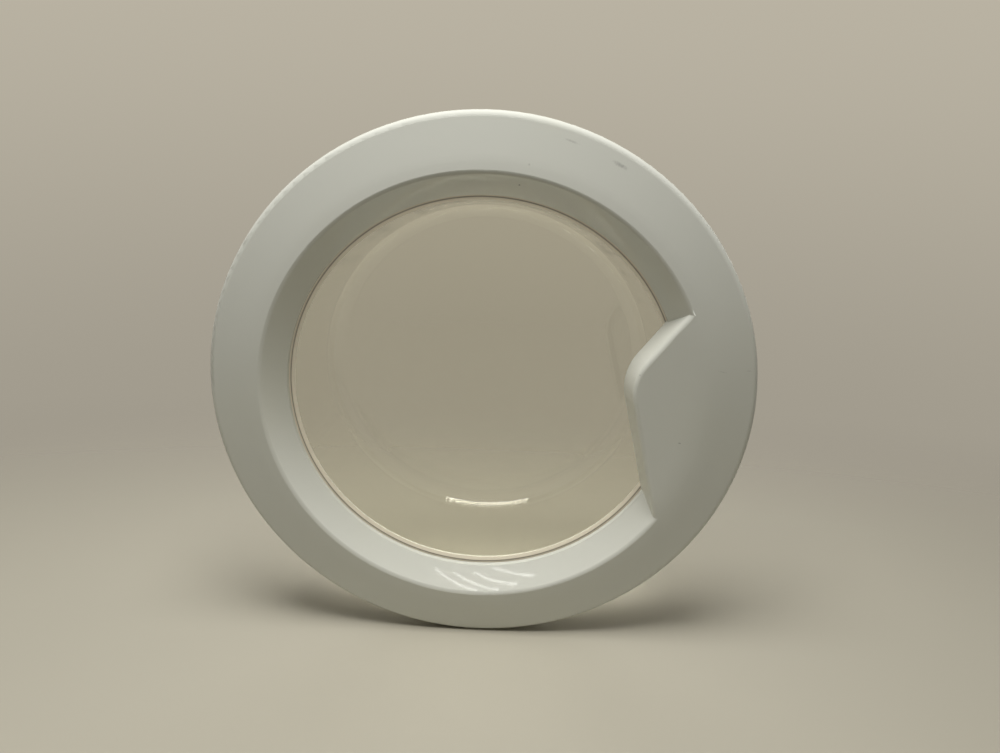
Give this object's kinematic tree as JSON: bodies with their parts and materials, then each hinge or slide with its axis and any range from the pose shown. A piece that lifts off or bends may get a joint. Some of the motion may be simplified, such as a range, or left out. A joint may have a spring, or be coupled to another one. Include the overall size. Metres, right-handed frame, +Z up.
{
  "type": "washing machine door",
  "caption": "Round porthole door for a front-loading washer: white plastic ring, clear glass bowl, side grip with a release lever and latch hook, and a screw-on hinge.",
  "frame": {"origin": "middle of the two screws that hold the hinge to the machine's front panel, on that panel's face", "axes": "+Y into the machine, +Z up, +X to the right as the user sees the shut door, so the hinge is on the left"},
  "size_m": [0.46, 0.1164, 0.46],
  "materials": {
    "outer_plastic": "satin white moulding",
    "inner_plastic": "matt white moulding",
    "lever_plastic": "matt white moulding",
    "glass": "clear pressed glass",
    "hinge_zinc": "bare zinc casting",
    "hook_zinc": "bare zinc casting",
    "bracket_steel": "zinc-plated sheet",
    "pin_steel": "ground steel",
    "spring_steel": "spring steel",
    "screw_steel": "zinc-plated screw",
    "nylon": "natural nylon"
  },
  "bodies": {
    "hinge_base": {"hinge_plate": "hinge_zinc", "hinge_bush_upper": "nylon", "hinge_bush_lower": "nylon"},
    "door": {"outer_frame": "outer_plastic", "inner_frame": "inner_plastic", "glass_bowl": "glass", "hinge_leaf": "hinge_zinc", "hinge_pin": "pin_steel", "leaf_screws": "screw_steel", "frame_screws": "screw_steel", "latch_bracket": "bracket_steel", "bracket_screws": "screw_steel", "latch_pin": "pin_steel", "latch_pin_clip": "spring_steel", "hook_spring": "spring_steel"},
    "lever": {"release_lever": "lever_plastic"},
    "hook": {"latch_hook": "hook_zinc"}
  },
  "joints": [
    {"name": "door_swing", "type": "hinge", "parent": "hinge_base", "child": "door", "pos_m": [-0.027, -0.024, 0], "axis": [0, 0, -1], "range_deg": [0, 130]},
    {"name": "lever_pull", "type": "hinge", "parent": "door", "child": "lever", "pos_m": [0.383, -0.02, 0], "axis": [0, 0, 1], "range_deg": [0, 11], "stiffness_Nm_per_rad": 0.6, "springref_deg": -17.19},
    {"name": "hook_turn", "type": "hinge", "parent": "door", "child": "hook", "pos_m": [0.383, -0.02, 0], "axis": [0, 0, 1], "range_deg": [0, 11], "deforming": ["hook_spring"]}
  ],
  "couplings": [
    {"joint": "hook_turn", "follows": "lever_pull", "ratio": 1}
  ]
}
